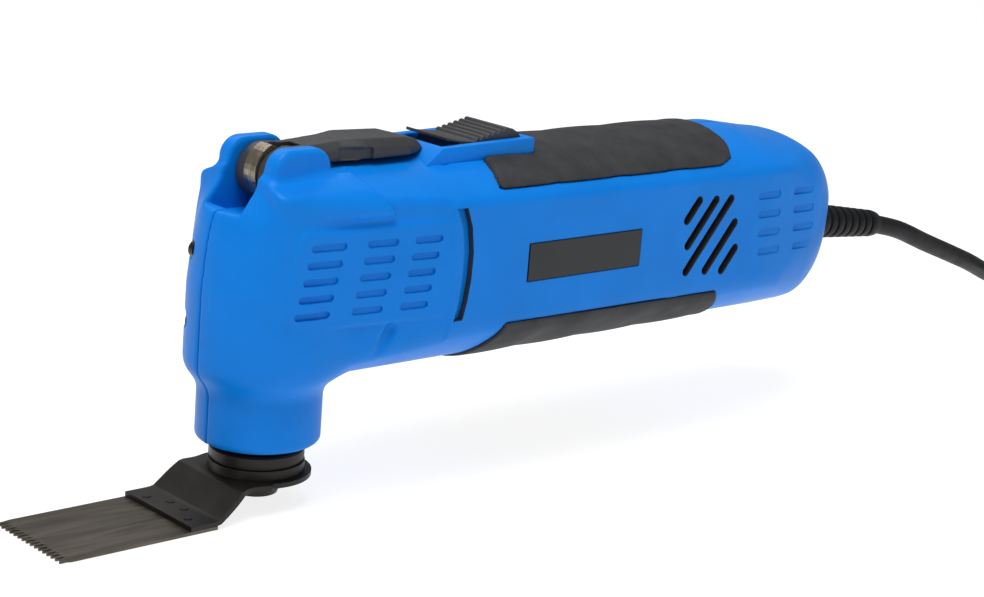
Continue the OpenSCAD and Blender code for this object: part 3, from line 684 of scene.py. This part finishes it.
def add_lever():
    step = 0.4
    low, high = (-9, -11, 79), (55, 11, 100)
    x, y, z = axes(low, high, step)
    a = np.abs(y)
    half = np.interp(x, [1, 19.5, 27, 43.5, 52.4], [7.8, 7.8, 9.6, 9.6, 5.4])
    top = np.interp(x, [1, 8, 16, 25, 43, 52.4], [96.6, 97, 97.6, 98.3, 97.7, 95.6])
    under = np.interp(x, [1, 20, 50, 52.4], [91.4, 92.1, 92.6, 93])
    arm = round_max(a - half, z - top, 0.5)
    # a facet runs round the top
    arm = round_max(arm, (a - half + z - top + 2.6) * 0.72, 0.3)
    arm = round_max(arm, under - z, 0.7)
    arm = round_max(round_max(arm, x - 52.4, 0.8), (x - 52.4 + z - top + 2) * 0.72, 0.3)
    arm = np.maximum(arm, PIVOT_X - x)
    recess = np.maximum(round_box(x, z, 24, 94.1, 5.6, 1.7, 0.5), half - 1.1 - a)
    arm = round_max(arm, -recess, 0.25)
    discs = round_max(np.hypot(x - PIVOT_X, z - 88.5) - 8.3, a - 7.8, 0.7)
    body = round_min(arm, discs, 1.2)
    groove = np.maximum(a - 2.95, np.maximum(np.hypot(x - PIVOT_X, z - 88.5) - 12, x - 7.6))
    body = np.maximum(body, -groove)
    body = np.maximum(body, -np.maximum(a - 2.95, np.hypot(x - PIVOT_X, z - 88.5) - 10.4))
    body = np.maximum(body, -(np.hypot(x - PIVOT_X, z - 88.5) - 2.6))
    lever = field_mesh("lever_handle_grip", body, low, step)
    soften(lever.data, 34)
    mount(lever, "lever", "black_plastic", "lever_handle")


# ---------------------------------------------------------------- accessory

BLADE_W = 34
BRACKET_T = 1.5
BRACKET_PATH = [
    (-34.2, -8.05), (-27, -8.05), (-24.6, -7.8), (-23.2, -7.0), (-16.9, -2.0), (-15.6, -1.1),
    (-13.6, -0.75), (-8, -0.75),
]


def add_bracket():
    line = smooth_line([Vector((x, 0, z)) for x, z in BRACKET_PATH], 4)
    flat = [(x, -0.75) for x in np.arange(-7, 16.4, 1)]
    stations = [(p.x, p.z) for p in line] + flat + [(16.4, -0.75)]
    bm = bmesh.new()
    rows = []
    across = 12
    for i, (x, z) in enumerate(stations):
        before, after = stations[max(i - 1, 0)], stations[min(i + 1, len(stations) - 1)]
        run, rise = after[0] - before[0], after[1] - before[1]
        size = math.hypot(run, rise)
        nx, nz = -rise / size * BRACKET_T / 2, run / size * BRACKET_T / 2
        waist = 17 - 1.6 * math.exp(-((x + 12) / 4.5) ** 2)
        half = waist if x < -5.2 else min(waist, math.sqrt(max(16.5 ** 2 - x * x, 0.2)))
        rows.append([
            [bm.verts.new(((x + s * nx) * MM, half * (2 * k / across - 1) * MM, (z + s * nz) * MM))
             for k in range(across + 1)] for s in (-1, 1)
        ])
    for (low0, high0), (low1, high1) in zip(rows, rows[1:]):
        for k in range(across):
            bm.faces.new((high0[k], high1[k], high1[k + 1], high0[k + 1]))
            bm.faces.new((low0[k], low0[k + 1], low1[k + 1], low1[k]))
        bm.faces.new((low0[0], low1[0], high1[0], high0[0]))
        bm.faces.new((low0[-1], high0[-1], high1[-1], low1[-1]))
    for low_row, high_row in (rows[0], rows[-1]):
        for k in range(across):
            bm.faces.new((low_row[k], high_row[k], high_row[k + 1], low_row[k + 1]))
    bracket = from_bmesh("cranked_bracket", bm)
    bm = bmesh.new()
    # stamped V marks over the spot welds
    for px, py in [(-31, -10.5), (-31, 10.5), (-27.5, -3.5), (-27.5, 3.5)]:
        mark = [(px - 1.5, py), (px + 1.1, py - 1.4), (px + 0.4, py), (px + 1.1, py + 1.4)]
        add_plate(bm, mark, -7.75, -6)
    cut(bracket, from_bmesh("cutter", bm), "EXACT")
    soften(bracket.data, 40)
    mount(bracket, "spindle", "black_oxide", "blade_bracket")


def add_blade():
    count = 16
    pitch = BLADE_W / count
    tip, root = -76.5, -73.6
    outline = []
    for i in range(count):
        y = -BLADE_W / 2 + i * pitch
        lean = (i - count / 2 + 0.5) * 0.05
        outline += [
            (root, y + 0.12), (root - 0.5, y + 0.5), (tip + 0.15, y + 0.5 * pitch - 0.25 + lean),
            (tip, y + 0.5 * pitch + 0.2 + lean), (root - 1.1, y + 0.8 * pitch),
            (root + 0.35, y + 0.93 * pitch),
        ]
    outline += [
        (root + 1, BLADE_W / 2), (-25, BLADE_W / 2), (-25, -BLADE_W / 2), (root + 1, -BLADE_W / 2),
    ]
    bm = bmesh.new()
    add_plate(bm, outline, -9.8, -8.8)
    blade = from_bmesh("plunge_blade", bm)
    soften(blade.data, 30)
    mount(blade, "spindle", "black_oxide", "saw_blade", look="blade_steel")


# ---------------------------------------------------------------- cord ends


def add_relief():
    """The ribbed sleeve, turned from a profile with a groove between each pair of ribs."""
    place = (Matrix.Translation(RELIEF_START)
             @ Matrix.Rotation(math.radians(90) + RELIEF_TILT, 4, "Y"))
    profile = [(8.3, 0), (8.5, 0.4), (8.5, 3.4), (8.2, 3.8), (6.1, 3.9), (6.1, 12.2)]
    count = 8
    pitch = (49 - 14.5) / count
    for i in range(count):
        at = 12.6 + i * pitch
        r = 6.3 - 1.5 * (at - 12) / 37
        profile += [(r - 1.0, at), (r - 1.0, at + 0.9), (r - 0.1, at + 1.15), (r, at + 1.6),
                    (r, at + pitch - 0.75), (r - 0.15, at + pitch - 0.3)]
    profile += [(4.7, 48.3), (4.5, 49)]
    relief = lathe("ribbed_sleeve", profile, place)
    mount(relief, "housing", "cord_black", "strain_relief")
    return relief


def add_plug():
    step = 0.6
    low, high = (472, 10, 9), (520, 48, 39)
    x, y, z = axes(low, high, step)
    u, v = y - 29, z - 24
    radial = np.hypot(u, v)
    cone = round_max(radial - (5 + 3 * (x - 474) / 20), 474 - x, 1)
    cone = np.maximum(cone, x - 500)
    barrel = round_max(radial - 11, np.abs(x - 499) - 10, 3.5)
    face = round_max(round_box(u, v, 0, 0, 17.5, 12.8, 12.6), np.abs(x - 513) - 5, 1.4)
    body = round_min(round_min(cone, barrel, 3), face, 3.5)
    ridges = 0.5 * np.clip(np.sin((x - 490) * 2 * math.pi / 3.6), 0, 1) * ((x > 489) & (x < 505))
    plug = field_mesh("moulded_plug", body - ridges * (radial > 9), low, step)
    soften(plug.data, 45)
    mount(plug, "housing", "cord_black", "plug_body")
    return plug


# ---------------------------------------------------------------- all the pieces

for node_name, entry in nodes.items():
    slot_name = {s["node"]: s["material_slot"] for s in frame["record"]["subparts"]}[node_name]
    coat(entry, slot_name)

add_housing()
add_grips()
add_bezel()
add_slider()
add_lever()
add_bracket()
add_blade()
sleeve = add_relief()
plug = add_plug()
cord_line = smooth_line([RELIEF_END, *metres(ROUTE_MM), *coil_line(), *metres(TAIL_MM)])
mains_cord = add_cord(cord_line)
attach(mains_cord, "housing")
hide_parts("cord_tube", "cord_coil")
coat(mains_cord, "cord_black")

# ---------------------------------------------------------------- studio


FLOOR_SIZE = 30
FLOOR_TONE = 0.3
FLOOR_GLOW = 0.82


def add_floor():
    """White paper that glows a little, so that shadows on it stay faint."""
    bpy.ops.mesh.primitive_plane_add(size=FLOOR_SIZE, location=(0.2, 0.2, FLOOR_Z - 0.0002))
    floor = bpy.context.object
    floor.name = "floor"
    material = bpy.data.materials.new("floor_paper")
    material.use_nodes = True
    shader = material.node_tree.nodes["Principled BSDF"]
    shader.inputs["Base Color"].default_value = (FLOOR_TONE, FLOOR_TONE, FLOOR_TONE, 1)
    shader.inputs["Roughness"].default_value = 0.9
    shader.inputs["Emission Color"].default_value = (1, 1, 1, 1)
    shader.inputs["Emission Strength"].default_value = FLOOR_GLOW
    floor.data.materials.append(material)


def add_area(name, place, target, size, power):
    data = bpy.data.lights.new(name, "AREA")
    data.shape = "RECTANGLE"
    data.size, data.size_y = size
    data.energy = power
    light = bpy.data.objects.new(name, data)
    light.location = place
    light.rotation_euler = (Vector(target) - Vector(place)).to_track_quat("-Z", "Y").to_euler()
    bpy.context.scene.collection.objects.link(light)


def add_world(strength):
    """A white world: full strength where the camera sees it, less as a light."""
    world = bpy.data.worlds.new("studio")
    world.use_nodes = True
    back = world.node_tree.nodes["Background"]
    back.inputs["Color"].default_value = (1, 1, 1, 1)
    ray = world.node_tree.nodes.new("ShaderNodeLightPath")
    level = world.node_tree.nodes.new("ShaderNodeMapRange")
    level.inputs["To Min"].default_value = strength
    world.node_tree.links.new(ray.outputs["Is Camera Ray"], level.inputs["Value"])
    world.node_tree.links.new(level.outputs["Result"], back.inputs["Strength"])
    bpy.context.scene.world = world


bpy.context.scene.view_settings.view_transform = "Standard"
add_floor()
add_area("key", (-0.35, -0.25, 1.5), (0.08, 0, 0.05), (0.9, 0.9), 21)
add_area("fill", (0.3, -1.6, 0.5), (0.12, 0, 0.05), (1.2, 0.6), 1)
add_area("rim", (0.4, 1.1, 1.3), (0.12, 0, 0.05), (1.4, 0.5), 5)
add_world(0.28)

bpy.context.view_layer.update()
